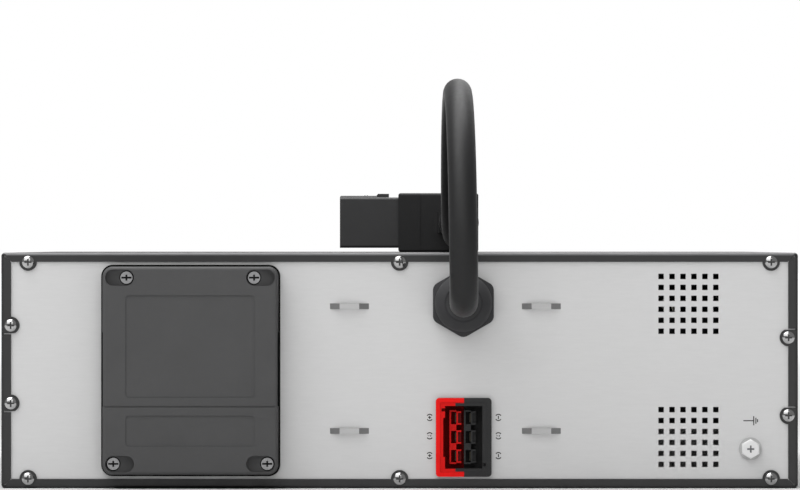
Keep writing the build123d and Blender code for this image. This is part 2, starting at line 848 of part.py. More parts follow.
# Ground screw with its washer
ground_plane = panel_face.shift_origin(panel_face.from_local_coords((ground_x, ground_z)))
with BuildPart() as ground_washer_piece:
    with BuildSketch(ground_plane):
        Circle(ground_washer / 2)
        Circle(ground_shank / 2 + screw_play, mode=Mode.SUBTRACT)
    extrude(amount=ground_washer_thickness)
write(ground_washer_piece, "ground_washer")

with BuildPart() as ground_screw:
    with BuildSketch(ground_plane.offset(ground_washer_thickness)):
        RegularPolygon(ground_hex / 2, 6, major_radius=False, rotation=hex_turn)
    extrude(amount=ground_hex_height)
    with BuildSketch(ground_plane.offset(ground_washer_thickness)):
        cone_base(ground_hex_face, ground_hex_height)
    extrude(amount=ground_hex_height, taper=hex_chamfer, mode=Mode.INTERSECT)
    with BuildSketch(ground_plane.offset(ground_washer_thickness)):
        Circle(ground_shank / 2)
    extrude(amount=-ground_length)
    with BuildSketch(ground_plane.offset(ground_washer_thickness + ground_hex_height)):
        cross(cross_width, cross_slot)
    extrude(amount=-cross_depth, mode=Mode.SUBTRACT)
write(ground_screw, "ground_screw")

# Plug: its own axes are shifted copies of the case's, with the leg's axis in line with the lead
plug_base = Plane((gland_x, plug_y, case_height + plug_thickness / 2))
nose_plane = plug_base.offset(-plug_nose_thickness / 2)
mouth_height = plug_nose_height - 2 * mouth_wall
mouth_thickness = plug_nose_thickness - 2 * mouth_wall
mouth_plane = Plane(
    plug_base.from_local_coords((-plug_nose, 0, 0)), x_dir=(0, -1, 0), z_dir=(-1, 0, 0)
)
leg_plane = Plane(plug_base.origin, x_dir=(1, 0, 0), z_dir=(0, -1, 0))

plug_top = plug_base.offset(plug_nose_thickness / 2)
pad_start = tongue_slit - pad_opening_start
pad_end = -pad_opening_end - tongue_slit
pad_middle = (pad_start + pad_end) / 2
pad_width = pad_opening_width - 2 * tongue_slit
with BuildPart() as plug_housing:
    with BuildSketch(nose_plane):
        with Locations((-(plug_nose + plug_collar_start) / 2, 0)):
            Rectangle(plug_nose - plug_collar_start, plug_nose_height)
    extrude(amount=plug_nose_thickness)
    fillet(plug_housing.edges().filter_by(Axis.X), plug_edge)
    # Raised plateau round the latch
    with BuildSketch(plug_top.offset(-plateau_rise)):
        with Locations((-(plug_nose + plateau_end) / 2, 0)):
            Rectangle(plug_nose - plateau_end, plateau_width)
    extrude(amount=2 * plateau_rise)
    chamfer(plug_housing.faces().sort_by(Axis.Z)[-1].edges(), plateau_bevel)
    # Rib along the top of the nose
    with BuildSketch(plug_top.offset(-plateau_rise)):
        with Locations((-(top_rib_start + top_rib_end) / 2, top_rib_offset)):
            Rectangle(top_rib_start - top_rib_end, top_rib_width)
    extrude(amount=2 * plateau_rise)
    # Press pad on the tongue's free end, with a ramp at its front
    with BuildSketch(Plane(plug_top.origin, x_dir=(1, 0, 0), z_dir=(0, -1, 0))):
        Polygon(
            (pad_start, -plateau_rise),
            (pad_start, 0),
            (pad_start + pad_ramp, pad_rise),
            (pad_end, pad_rise),
            (pad_end, -plateau_rise),
        )
    extrude(amount=pad_width / 2, both=True)
    # Ridges across the tongue
    with BuildSketch(plug_top):
        with Locations((-ridge_place, 0)):
            with GridLocations(ridge_pitch, tongue_width, 2, 1):
                Rectangle(ridge_width, tongue_width)
    extrude(amount=plateau_rise + ridge_rise)
    # Cross marks beside the pad
    with BuildSketch(plug_top):
        with Locations((-cross_mark_place, 0)):
            with GridLocations(cross_mark_length, cross_mark_spread, 1, 2):
                cross(cross_mark_length, cross_mark_width)
    extrude(amount=-cross_mark_depth, mode=Mode.SUBTRACT)
    with BuildSketch(mouth_plane):
        Rectangle(mouth_height, mouth_thickness)
    extrude(amount=-(plug_nose - plug_collar_start - mouth_wall), mode=Mode.SUBTRACT)
    # Slits on both sides of the tongue, which run on round the pad
    with BuildSketch(plug_top.offset(pad_rise)):
        with Locations((pad_middle, 0)):
            Rectangle(pad_opening_start - pad_opening_end, pad_opening_width)
            Rectangle(pad_end - pad_start, pad_width, mode=Mode.SUBTRACT)
        with Locations(((-tongue_root + pad_middle) / 2, 0)):
            Rectangle(tongue_root + pad_middle, tongue_width, mode=Mode.SUBTRACT)
        with Locations((-(tongue_root + pad_opening_start - tongue_slit) / 2, 0)):
            with GridLocations(tongue_root, tongue_width + tongue_slit, 1, 2):
                Rectangle(tongue_root - pad_opening_start + tongue_slit, tongue_slit)
    extrude(amount=-(mouth_wall + pad_rise), mode=Mode.SUBTRACT)
write(plug_housing, "plug_housing")


def plug_block(side):
    """A contact block with three wells in the housing's mouth: 1 is the upper, red one, -1 the black one."""
    block_thickness = mouth_thickness / 2
    with BuildPart() as block:
        with BuildSketch(mouth_plane.offset(-mouth_depth)):
            with Locations((0, side * block_thickness / 2)):
                Rectangle(mouth_height, block_thickness)
        extrude(amount=-(plug_nose - plug_collar_start - mouth_wall - mouth_depth))
        with BuildSketch(mouth_plane.offset(-mouth_depth)):
            with Locations((0, side * block_thickness / 2)):
                with GridLocations(cell_pitch, cell_pitch, 3, 1):
                    Rectangle(cell_size, cell_size)
        extrude(amount=-cell_depth, mode=Mode.SUBTRACT)
    return block


plug_red_block = plug_block(1)
write(plug_red_block, "plug_red_block")
plug_black_block = plug_block(-1)
write(plug_black_block, "plug_black_block")

with BuildPart() as plug_contacts:
    with BuildSketch(mouth_plane.offset(-mouth_depth - cell_depth)):
        with GridLocations(cell_pitch, mouth_thickness / 2, 3, 2):
            cross(pin_width, pin_thickness)
    extrude(amount=cell_depth - 2 * fit_gap)
write(plug_contacts, "plug_contacts")

# Moulded elbow: collar, body and the strain relief's ribbed leg
with BuildPart() as plug_elbow:
    with BuildSketch(plug_base.offset(-plug_thickness / 2)):
        with Locations((-(plug_collar_start + plug_collar_end) / 2, 0)):
            Rectangle(plug_collar_start - plug_collar_end, plug_collar_height)
        with BuildLine():
            half = plug_elbow_height / 2
            Polyline(
                (plug_elbow_end, half - plug_elbow_radius),
                (plug_elbow_end, -half),
                (-plug_collar_end, -half),
                (-plug_collar_end, half),
                (plug_elbow_end - plug_elbow_radius, half),
            )
            RadiusArc(
                (plug_elbow_end - plug_elbow_radius, half),
                (plug_elbow_end, half - plug_elbow_radius),
                plug_elbow_radius,
            )
        make_face()
    extrude(amount=plug_thickness)
    fillet(plug_elbow.faces().filter_by(Axis.Z).edges(), plug_edge)
    with BuildSketch(leg_plane):
        Circle(plug_leg / 2)
    extrude(amount=plug_leg_length)
    fillet(plug_elbow.faces().sort_by(Axis.Y)[0].edges(), plug_edge)
    # Rounded web in the inner corner
    with BuildSketch(plug_base):
        with BuildLine():
            RadiusArc((-plug_leg / 2 - elbow_web, -half), (-plug_leg / 2, -half - elbow_web), elbow_web)
            Polyline(
                (-plug_leg / 2, -half - elbow_web),
                (0, -half - elbow_web),
                (0, -half + elbow_web),
                (-plug_leg / 2 - elbow_web, -half + elbow_web),
                (-plug_leg / 2 - elbow_web, -half),
            )
        make_face()
    extrude(amount=elbow_web_thickness / 2, both=True)
    # Staggered cuts of the strain relief: webs at the front and back, and at the sides of every other cut too
    for index, relief_start in enumerate(relief_starts):
        with BuildSketch(leg_plane.offset(relief_start)):
            Circle(plug_leg)
            Circle(relief_core / 2, mode=Mode.SUBTRACT)
            Rectangle(relief_web, 2 * plug_leg, mode=Mode.SUBTRACT)
            if index % 2 == 0:
                Rectangle(2 * plug_leg, relief_web, mode=Mode.SUBTRACT)
        extrude(amount=relief_groove, mode=Mode.SUBTRACT)
write(plug_elbow, "plug_elbow")

# The lead from the gland over the rear edge to the plug: Y and Z of the route's points, beside its X
lead_start_y = panel_face_y - lead_exit
lead_end_y = plug_y - plug_leg_length
lead_end_z = plug_base.origin.Z
lead_points = [
    (gland_x, lead_start_y, gland_z),
    (gland_x, -323.5, gland_z),
    (34.9, -336.5, 115.0),
    (34.5, -339.0, 145.5),
    (33.8, -322.0, 186.0),
    (32.8, -287.5, 213.5),
    (31.8, -244.0, 220.5),
    (31.2, -202.5, 206.0),
    (31.0, -170.0, 177.0),
    (31.4, -134.5, 151.0),
    (32.2, -92.0, 140.0),
    (33.6, -52.0, 139.2),
    (gland_x, -14.0, lead_end_z),
    (gland_x, lead_end_y, lead_end_z),
]
print("lead runs", [round((Vector(b) - Vector(a)).length) for a, b in zip(lead_points, lead_points[1:])])
print("lead radii", [round(radius) for radius in route_radii(lead_points)])

with BuildPart() as power_lead:
    with BuildLine() as lead_route:
        FilletPolyline(*lead_points, radius=route_radii(lead_points))
    with BuildSketch(gland_plane.offset(lead_exit)):
        Circle(lead_diameter / 2)
    sweep(path=lead_route.wires()[0])
lead_length = lead_route.wires()[0].length
lead_section = math.pi * lead_diameter**2 / 4
print("lead length", round(lead_length))
print("volume ratio", round(power_lead.part.volume / lead_section / lead_length, 4))
write(power_lead, "power_lead")

# Battery trays, folded from sheet, side by side on the chassis floor with room for the strap legs
tray_gap = 2 * (strap_sheet + strap_room)
tray_width = (inner_width - tray_gap) / 2 - strap_sheet - tray_side_room
tray_mid_x = (tray_width + tray_gap) / 2
tray_front_y = front_y - front_rim - fit_gap
tray_rear_y = panel_back_y + bay_depth
tray_length = tray_front_y - tray_rear_y
tray_mid_y = (tray_front_y + tray_rear_y) / 2
tray_floor = sheet
block_floor = tray_floor + sheet
block_top = block_floor + block_height
# As many blocks as fit in a tray; the middle place at the rear stays free for the leads
blocks_across = int((tray_width - 2 * sheet) // block_width)
blocks_along = int((tray_length - 2 * sheet) // block_length)
free_cell = (blocks_across // 2, 0)
tray_cells = [
    (column, row)
    for row in range(blocks_along)
    for column in range(blocks_across)
    if (column, row) != free_cell
]
linked_cells = [(column, row) for column, row in tray_cells if (column + 1, row) in tray_cells]
strapped_ys = [tray_mid_y + block_length * (row - (blocks_along - 1) / 2) for row in range(1, blocks_along)]
side_names = {-1: "left", 1: "right"}


def cell_centre(side, column, row):
    """The middle of one block's place in a tray."""
    return (
        side * tray_mid_x + block_width * (column - (blocks_across - 1) / 2),
        tray_mid_y + block_length * (row - (blocks_along - 1) / 2),
    )


def battery_tray(side):
    """A shallow folded tray on the chassis floor."""
    with BuildPart() as tray:
        with BuildSketch(Plane.XY.offset(tray_floor)):
            with Locations((side * tray_mid_x, tray_mid_y)):
                Rectangle(tray_width, tray_length)
        extrude(amount=tray_wall)
        with BuildSketch(Plane.XY.offset(block_floor)):
            with Locations((side * tray_mid_x, tray_mid_y)):
                Rectangle(tray_width - 2 * sheet, tray_length - 2 * sheet)
        extrude(amount=tray_wall, mode=Mode.SUBTRACT)
    return tray


def battery_blocks(side):
    """Sealed blocks, each with chamfered upright edges."""
    with BuildPart() as blocks:
        with BuildSketch(Plane.XY.offset(block_floor)):
            with Locations(*[cell_centre(side, column, row) for column, row in tray_cells]):
                Rectangle(block_width - 2 * screw_play, block_length - 2 * screw_play)
        extrude(amount=block_height)
        chamfer(blocks.edges().filter_by(Axis.Z), block_chamfer)
    return blocks


def terminal_blades(side):
    """Two flat terminals on each block, near its rear end."""
    with BuildPart() as blades:
        with BuildSketch(Plane.XY.offset(block_top)):
            for column, row in tray_cells:
                x, y = cell_centre(side, column, row)
                with Locations((x, y - block_length / 2 + terminal_inset)):
                    with GridLocations(terminal_spread, terminal_width, 2, 1):
                        Rectangle(terminal_thickness, terminal_width)
        extrude(amount=terminal_height)
    return blades


def block_links(side):
    """Insulated links from a block to the next one across the tray."""
    with BuildPart() as links:
        for column, row in linked_cells:
            x, y = cell_centre(side, column, row)
            start_x = x + (terminal_spread + terminal_thickness) / 2
            link_y = y - block_length / 2 + terminal_inset
            with BuildSketch(Plane((start_x, link_y, block_top + terminal_height / 2), z_dir=(1, 0, 0))):
                Circle(link_diameter / 2)
            extrude(amount=block_width - terminal_spread - terminal_thickness)
    return links


def hold_down_straps(side):
    """Straps over the blocks, with their legs outside the tray walls."""
    strap_top = block_top + strap_pad + strap_sheet
    with BuildPart() as straps:
        for strap_y in strapped_ys:
            strap_plane = Plane(
                (side * tray_mid_x, strap_y - strap_width / 2, 0),
                x_dir=(1, 0, 0),
                z_dir=(0, 1, 0),
            )
            with BuildSketch(strap_plane):
                with Locations((0, -(strap_top - strap_drop / 2))):
                    Rectangle(tray_width + 2 * strap_sheet, strap_drop)
                with Locations((0, -(strap_top - strap_sheet - strap_drop / 2))):
                    Rectangle(tray_width, strap_drop, mode=Mode.SUBTRACT)
            extrude(amount=strap_width)
    return straps


def foam_pads(side):
    """Foam: strips along the tray's sides and pads under the straps."""
    strip_width = (tray_width - 2 * sheet - blocks_across * block_width) / 2
    strip_x = (blocks_across * block_width + strip_width) / 2
    with BuildPart() as foam:
        with BuildSketch(Plane.XY.offset(block_floor)):
            for sign in (-1, 1):
                with Locations((side * tray_mid_x + sign * strip_x, tray_mid_y)):
                    Rectangle(strip_width - 2 * screw_play, blocks_along * block_length)
        extrude(amount=foam_height)
        with BuildSketch(Plane.XY.offset(block_top)):
            with Locations(*[(side * tray_mid_x, strap_y) for strap_y in strapped_ys]):
                Rectangle(blocks_across * block_width, strap_width)
        extrude(amount=strap_pad)
    return foam


def tray_connector(side):
    """Two-pole connector on the tray's rear wall."""
    with BuildPart() as connector:
        with BuildSketch(Plane.XY.offset(tray_floor)):
            with Locations((side * tray_mid_x, tray_rear_y - connector_depth / 2)):
                Rectangle(connector_width, connector_depth)
        extrude(amount=connector_height)
        chamfer(connector.edges().filter_by(Axis.Z), block_chamfer)
    return connector


makers = {
    "battery_tray": battery_tray,
    "battery_blocks": battery_blocks,
    "terminal_blades": terminal_blades,
    "block_links": block_links,
    "hold_down_straps": hold_down_straps,
    "foam_pads": foam_pads,
    "tray_connector": tray_connector,
}
for side, side_name in side_names.items():
    for kind, maker in makers.items():
        write(maker(side), f"{kind}_{side_name}")

# Leads in the wiring bay, between the lead's inner end, fuse holder, socket and tray connectors
entry_y = panel_face_y + gland_inner_length + lead_entry_length
holder_back_y = panel_face_y + holder_depth
socket_back_y = panel_face_y + socket_body_depth
connector_y = tray_rear_y - connector_depth
tap_z = tray_floor + connector_height / 2
core_x = lead_diameter / 4
tap_x = connector_width / 4
pole_x = pole_pitch / 2
loop_y = panel_back_y + bay_loop
bay_routes = {
    "positive_leads": [
        [
            (gland_x - core_x, entry_y, gland_z),
            (gland_x - core_x, loop_y + 1.0, gland_z),
            (-40.0, loop_y + 9.0, 96.0),
            (cover_x + fuse_pitch / 2, loop_y + 1.0, 86.0),
            (cover_x + fuse_pitch / 2, holder_back_y, 86.0),
        ],
        [
            (cover_x - fuse_pitch / 2, holder_back_y, 45.0),
            (cover_x - fuse_pitch / 2, loop_y - 1.0, 45.0),
            (-tray_mid_x - tap_x, loop_y - 1.0, tap_z),
            (-tray_mid_x - tap_x, connector_y, tap_z),
        ],
        [
            (cover_x + fuse_pitch / 2, holder_back_y, 45.0),
            (cover_x + fuse_pitch / 2, loop_y - 5.0, 45.0),
            (-40.0, loop_y + 3.0, 36.0),
            (socket_x - pole_x, loop_y - 3.0, socket_z),
            (socket_x - pole_x, socket_back_y, socket_z),
        ],
    ],
    "negative_leads": [
        [
            (gland_x + core_x, entry_y, gland_z),
            (gland_x + core_x, loop_y + 1.0, gland_z),
            (96.0, loop_y - 1.0, 42.0),
            (tray_mid_x + tap_x, loop_y - 3.0, tap_z),
            (tray_mid_x + tap_x, connector_y, tap_z),
        ],
        [
            (socket_x + pole_x, socket_back_y, socket_z),
            (socket_x + pole_x, loop_y - 2.0, socket_z),
            (tray_mid_x, loop_y - 2.0, tap_z),
            (tray_mid_x, connector_y, tap_z),
        ],
    ],
    "tray_link": [
        [
            (-tray_mid_x + tap_x, connector_y, tap_z),
            (-tray_mid_x + tap_x, loop_y + 6.0, tap_z),
            (-4.0, loop_y + 3.0, tap_z - 4.0),
            (tray_mid_x - tap_x, loop_y + 6.0, tap_z),
            (tray_mid_x - tap_x, connector_y, tap_z),
        ],
    ],
}
for lead_name, routes in bay_routes.items():
    with BuildPart() as bay_leads:
        for points in routes:
            with BuildLine() as bay_route:
                FilletPolyline(*points, radius=route_radii(points))
            with BuildSketch(Plane(points[0], z_dir=Vector(points[1]) - Vector(points[0]))):
                Circle(inner_lead / 2)
            sweep(path=bay_route.wires()[0])
    write(bay_leads, lead_name)

# Front panel: a tray of sheet whose rim seats inside the walls
front_face = Plane.XZ.offset(-case_depth / 2)
with BuildPart() as front_panel:
    with BuildSketch(front_face):
        case_outline(sheet + fit_gap)
    extrude(amount=front_rim)
    with BuildSketch(front_face.offset(panel_sheet)):
        case_outline(sheet + fit_gap + panel_sheet / 2)
    extrude(amount=front_rim, mode=Mode.SUBTRACT)
write(front_panel, "front_panel")

# Bezel: a moulded shell with two fields of slots
bezel_front = Plane.XZ.offset(-case_depth / 2 - bezel_depth)
bezel_slot_width = (case_width - bezel_middle) / 2 - bezel_side_margin
with BuildPart() as front_bezel:
    with BuildSketch(front_face):
        case_outline(0)
    extrude(amount=-bezel_depth)
    fillet(front_bezel.faces().sort_by(Axis.Y)[-1].edges(), bend_radius - fit_gap)
    with BuildSketch(front_face):
        case_outline(bezel_wall)
    extrude(amount=-(bezel_depth - bezel_wall), mode=Mode.SUBTRACT)
    with BuildSketch(bezel_front):
        with Locations((0, mid_height)):
            with GridLocations(bezel_middle + bezel_slot_width, bezel_slot_pitch, 2, bezel_slots):
                SlotOverall(bezel_slot_width, bezel_slot_height)
    extrude(amount=bezel_depth / 2, mode=Mode.SUBTRACT)
write(front_bezel, "front_bezel")
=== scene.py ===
"""Looks of the external battery pack: camera, finishes, the free lead, printed marks and lights."""

import json
import math

import bmesh
import bpy
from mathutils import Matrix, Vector


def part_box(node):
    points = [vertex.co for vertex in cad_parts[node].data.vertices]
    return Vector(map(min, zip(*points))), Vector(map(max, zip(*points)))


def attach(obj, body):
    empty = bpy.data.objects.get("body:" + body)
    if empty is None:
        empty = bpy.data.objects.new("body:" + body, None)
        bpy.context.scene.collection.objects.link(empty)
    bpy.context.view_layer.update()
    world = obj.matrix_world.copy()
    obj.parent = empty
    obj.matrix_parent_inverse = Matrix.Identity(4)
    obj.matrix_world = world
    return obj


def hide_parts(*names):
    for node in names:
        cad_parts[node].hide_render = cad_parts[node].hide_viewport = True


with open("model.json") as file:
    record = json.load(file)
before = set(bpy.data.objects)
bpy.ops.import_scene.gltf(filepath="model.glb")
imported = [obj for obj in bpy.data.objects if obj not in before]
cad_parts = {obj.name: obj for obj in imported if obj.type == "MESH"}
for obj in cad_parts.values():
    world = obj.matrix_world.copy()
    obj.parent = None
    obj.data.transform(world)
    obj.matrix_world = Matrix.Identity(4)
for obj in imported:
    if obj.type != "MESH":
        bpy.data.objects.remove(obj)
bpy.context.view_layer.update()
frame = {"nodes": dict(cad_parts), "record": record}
nodes = frame["nodes"]

MM = 0.001

# The photograph's frame: 800 pixels across 439.7 mm of the rear plane, seen square on from far away
PHOTO_WIDTH = 439.7 * MM
PHOTO_CENTRE = (0.2 * MM, 133.7 * MM)

# The camera: distances in metres, its sensor in millimetres
CAMERA_DISTANCE = 4.0
VIEW_REACH = 100
SENSOR_WIDTH = 36.0

# The rear panel's face is where the ground washer seats
PANEL_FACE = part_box("ground_washer")[1].y


def camera():
    """A long lens, level with the photograph's centre."""
    rear_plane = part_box("base_chassis")[0].y
    data = bpy.data.cameras.new("camera")
    data.sensor_width = SENSOR_WIDTH
    data.lens = SENSOR_WIDTH * CAMERA_DISTANCE / PHOTO_WIDTH
    data.clip_end = VIEW_REACH
    cam = bpy.data.objects.new("camera", data)
    cam.location = (PHOTO_CENTRE[0], rear_plane - CAMERA_DISTANCE, PHOTO_CENTRE[1])
    cam.rotation_euler = (math.radians(90), 0, 0)
    bpy.context.collection.objects.link(cam)
    bpy.context.scene.camera = cam


# Materials

# The part of a noise's 0 to 1 that most of its values lie in
NOISE_MIDDLE = (0.3, 0.7)


class Finish:
    """A Principled material with short helpers for its procedural parts."""

    def __init__(self, name, base, roughness, metallic=0.0, specular=0.5):
        self.material = bpy.data.materials.new(name)
        self.material.use_nodes = True
        self.tree = self.material.node_tree
        self.shader = self.tree.nodes["Principled BSDF"]
        self.shader.inputs["Base Color"].default_value = (*base, 1)
        self.shader.inputs["Roughness"].default_value = roughness
        self.shader.inputs["Metallic"].default_value = metallic
        self.shader.inputs["Specular IOR Level"].default_value = specular
        self.base = base
        self.roughness = roughness
        self.coordinates = self.node("ShaderNodeTexCoord").outputs["Object"]

    def node(self, kind, **inputs):
        """Adds a node and sets its inputs, named with underscores for spaces."""
        made = self.tree.nodes.new(kind)
        for name, value in inputs.items():
            made.inputs[name.replace("_", " ")].default_value = value
        return made

    def link(self, output, target):
        self.tree.links.new(output, target)

    def noise(self, scale, detail=3.0, stretch=(1, 1, 1)):
        """Noise in the object's metres, stretched along an axis where stretch is small."""
        mapping = self.node("ShaderNodeMapping")
        mapping.inputs["Scale"].default_value = stretch
        self.link(self.coordinates, mapping.inputs["Vector"])
        noise = self.node("ShaderNodeTexNoise", Scale=scale, Detail=detail)
        self.link(mapping.outputs["Vector"], noise.inputs["Vector"])
        return noise.outputs["Fac"]

    def spread(self, value, low, high):
        """Maps the middle of a noise onto a range."""
        start, end = NOISE_MIDDLE
        ranged = self.node("ShaderNodeMapRange", From_Min=start, From_Max=end, To_Min=low, To_Max=high)
        self.link(value, ranged.inputs["Value"])
        return ranged.outputs["Result"]

    def mottle(self, value, amount):
        """Varies the base colour by a share of itself."""
        ramp = self.node("ShaderNodeMix")
        ramp.data_type = "RGBA"
        ramp.inputs["A"].default_value = (*[c * (1 - amount) for c in self.base], 1)
        ramp.inputs["B"].default_value = (*[min(1, c * (1 + amount)) for c in self.base], 1)
        self.link(self.spread(value, 0, 1), ramp.inputs["Factor"])
        self.link(ramp.outputs["Result"], self.shader.inputs["Base Color"])
        return self

    def vary_roughness(self, value, amount):
        """Varies the roughness to either side by an amount."""
        rough = self.spread(value, self.roughness - amount, self.roughness + amount)
        self.link(rough, self.shader.inputs["Roughness"])
        return self

    def bump(self, value, depth, strength):
        """Raises the surface's grain to a depth."""
        bump = self.node("ShaderNodeBump", Strength=strength, Distance=depth)
        self.link(value, bump.inputs["Height"])
        self.link(bump.outputs["Normal"], self.shader.inputs["Normal"])
        return self


def powder_coat(name="black_powder_coat", shade=0.014):
    """Satin black coat with a fine orange-peel grain."""
    finish = Finish(name, (shade, shade, 1.03 * shade), 0.38, specular=0.55)
    finish.mottle(finish.noise(60), 0.08).vary_roughness(finish.noise(240), 0.05)
    return finish.bump(finish.noise(1600, 2), 0.05 * MM, 0.3).material


ZINC_SHADE = 0.66


def zinc_finish(name, shade):
    """Passivated sheet: a soft grey with a barely visible grain along the rolling direction."""
    grain = (0.15, 1, 1)
    finish = Finish(name, (shade, shade, shade), 0.5, metallic=0.35)
    finish.mottle(finish.noise(900, 2, grain), 0.012).vary_roughness(finish.noise(300, 3, grain), 0.03)
    return finish.bump(finish.noise(2600, 2, grain), 0.01 * MM, 0.1)


def zinc_sheet(name="zinc_sheet", shade=ZINC_SHADE):
    return zinc_finish(name, shade).material


# The rear panel's shaded corners: how far they reach in, and their colour
CORNER_SIZE = 5.0 * MM
CORNER_SHADE = (0.17, 0.17, 0.17, 1)


def panel_sheet():
    """The rear panel's sheet, dark in its corners, where it lies in the shade of the mitred flanges."""
    finish = zinc_finish("rear_panel_sheet", ZINC_SHADE)

    def calculate(operation, value, other=0.0):
        result = finish.node("ShaderNodeMath")
        result.operation = operation
        finish.link(value, result.inputs[0])
        if isinstance(other, float):
            result.inputs[1].default_value = other
        else:
            finish.link(other, result.inputs[1])
        return result.outputs[0]

    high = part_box("base_chassis")[1]
    middle_z = high.z / 2
    separate = finish.node("ShaderNodeSeparateXYZ")
    finish.link(finish.coordinates, separate.inputs[0])
    across = calculate("ABSOLUTE", separate.outputs["X"])
    upward = calculate("ABSOLUTE", calculate("SUBTRACT", separate.outputs["Z"], middle_z))
    corner = calculate(
        "MULTIPLY",
        calculate("GREATER_THAN", across, high.x - CORNER_SIZE),
        calculate("GREATER_THAN", upward, middle_z - CORNER_SIZE),
    )
    base = finish.shader.inputs["Base Color"]
    mix = finish.node("ShaderNodeMix")
    mix.data_type = "RGBA"
    mix.inputs["B"].default_value = CORNER_SHADE
    finish.link(base.links[0].from_socket, mix.inputs["A"])
    finish.link(corner, mix.inputs["Factor"])
    finish.link(mix.outputs["Result"], base)
    return finish.material


def moulding(name, base, roughness, specular=0.45):
    """Moulded plastic with a fine spark-eroded grain."""
    finish = Finish(name, base, roughness, specular=specular)
    finish.mottle(finish.noise(45), 0.04).vary_roughness(finish.noise(300), 0.04)
    return finish.bump(finish.noise(2400, 2), 0.03 * MM, 0.25).material


def bright_metal(name, base, roughness):
    """Plated or bare metal with faint smears."""
    finish = Finish(name, base, roughness, metallic=1.0)
    finish.mottle(finish.noise(400), 0.04).vary_roughness(finish.noise(900), 0.04)
    return finish.bump(finish.noise(1500, 2), 0.01 * MM, 0.2).material


def lead_jacket():
    """Matt rubber, which catches a little light where it turns away."""
    finish = Finish("lead_jacket", (0.013, 0.013, 0.0135), 0.5, specular=0.3)
    finish.shader.inputs["Sheen Weight"].default_value = 0.08
    finish.shader.inputs["Sheen Roughness"].default_value = 0.3
    finish.mottle(finish.noise(60), 0.05).vary_roughness(finish.noise(400), 0.04)
    return finish.bump(finish.noise(1500, 2), 0.03 * MM, 0.25).material


def ink():
    """Screen-printed ink of uneven cover."""
    finish = Finish("printed_ink", (0.035, 0.031, 0.029), 0.6, specular=0.2)
    return finish.mottle(finish.noise(3000), 0.15).material


def foam():
    """Open-celled foam."""
    finish = Finish("foam", (0.06, 0.06, 0.065), 0.9, specular=0.2)
    finish.mottle(finish.noise(700), 0.2)
    return finish.bump(finish.noise(900, 4), 0.4 * MM, 0.8).material


MATERIALS = {
    "black_paint": powder_coat(),
    "zinc_sheet": zinc_sheet(),
    "bright_screw": bright_metal("bright_nickel", (0.46, 0.46, 0.46), 0.14),
    "black_screw": bright_metal("black_oxide", (0.05, 0.05, 0.052), 0.4),
    "black_moulding": moulding("black_moulding", (0.074, 0.074, 0.075), 0.62, 0.25),
    "gland_moulding": moulding("gland_nylon", (0.046, 0.046, 0.048), 0.65, 0.12),
    "red_moulding": moulding("red_moulding", (0.7, 0.005, 0.004), 0.5, 0.15),
    "dark_moulding": moulding("dark_moulding", (0.021, 0.021, 0.0215), 0.5, 0.3),
    "plug_moulding": moulding("plug_moulding", (0.03, 0.03, 0.031), 0.42),
    "lead_jacket": lead_jacket(),
    "contact_metal": bright_metal("tinned_brass", (0.72, 0.68, 0.58), 0.3),
    "ceramic": moulding("ceramic", (0.7, 0.68, 0.62), 0.3),
    "block_case": moulding("block_case", (0.06, 0.06, 0.065), 0.5),
    "foam": foam(),
    "red_lead": moulding("red_lead", (0.5, 0.02, 0.015), 0.4),
    "black_lead": moulding("black_lead", (0.02, 0.02, 0.02), 0.4),
}

# Finishes for one piece or for some faces of it: bends, recesses, sunk floors and slopes. Most are
# painted light or painted shade, lighter or darker copies of a piece's own material
# Painted highlight: a lighter copy of the black coat on the lid's rear bend
PAINTED_HIGHLIGHT_BEND = powder_coat("painted_highlight_on_bend", 0.11)
# Painted shade: a darker copy of the cover's moulding on its outer walls
SHADED_COVER_WALL = moulding("painted_shade_cover_wall", (0.024, 0.024, 0.0245), 0.6, 0.2)
# Painted shade: a near black copy of the cover's moulding on its flange
SHADED_COVER_EDGE = moulding("painted_shade_cover_edge", (0.006, 0.006, 0.006), 0.7, 0.1)
# Painted light: a lighter copy of the cover's moulding on the pocket floors, against the shade in the
# pockets
PAINTED_LIGHT_POCKET_FLOOR = moulding("pocket_floor", (0.1, 0.1, 0.101), 0.65, 0.2)
# Painted shade: near black in the cover's counterbored wells and in the slots of its screws
SHADED_SCREW_WELL = moulding("painted_shade_screw_well", (0.02, 0.02, 0.02), 0.7, 0.1)
# Painted shade: darker copies of the socket's mouldings in its cavity, wells, key notches and posts
SHADED_RED_WELL = moulding("painted_shade_red_well", (0.26, 0.004, 0.003), 0.7, 0.1)
SHADED_RED_POST = moulding("painted_shade_red_post", (0.13, 0.004, 0.004), 0.6, 0.2)
SHADED_BLACK_WELL = moulding("painted_shade_black_well", (0.045, 0.045, 0.045), 0.7, 0.1)
# Painted light: the gland's seal is lightened against the shade in the recess round the lead
LIT_SEAL = moulding("gland_seal", (0.065, 0.065, 0.067), 0.7, 0.1)
# Painted light: a lighter copy of the red moulding on the front face of the socket's red half
LIT_RED_RIM = moulding("painted_light_red_rim", (0.86, 0.006, 0.005), 0.5, 0.15)
# Painted shade: a darker copy of the panel's zinc on the bridges' slopes
SHADED_ZINC_SLOPE = zinc_sheet("painted_shade_zinc_slope", 0.22)
ZINC_SCREW = zinc_sheet("zinc_screw", 0.8)
ZINC_WASHER = zinc_sheet("zinc_washer", 0.47)
# Painted shade: a darker copy of the panel's zinc on the bridges' tops
SHADED_ZINC_BRIDGE = zinc_sheet("painted_shade_zinc_bridge", 0.5)
STEEL_SCREW = bright_metal("steel_screw", (0.3, 0.3, 0.305), 0.3)
# Painted shade: the sunk contacts darkened for lying deep in the socket
SHADED_SUNK_CONTACT = bright_metal("painted_shade_sunk_contact", (0.05, 0.045, 0.035), 0.4)
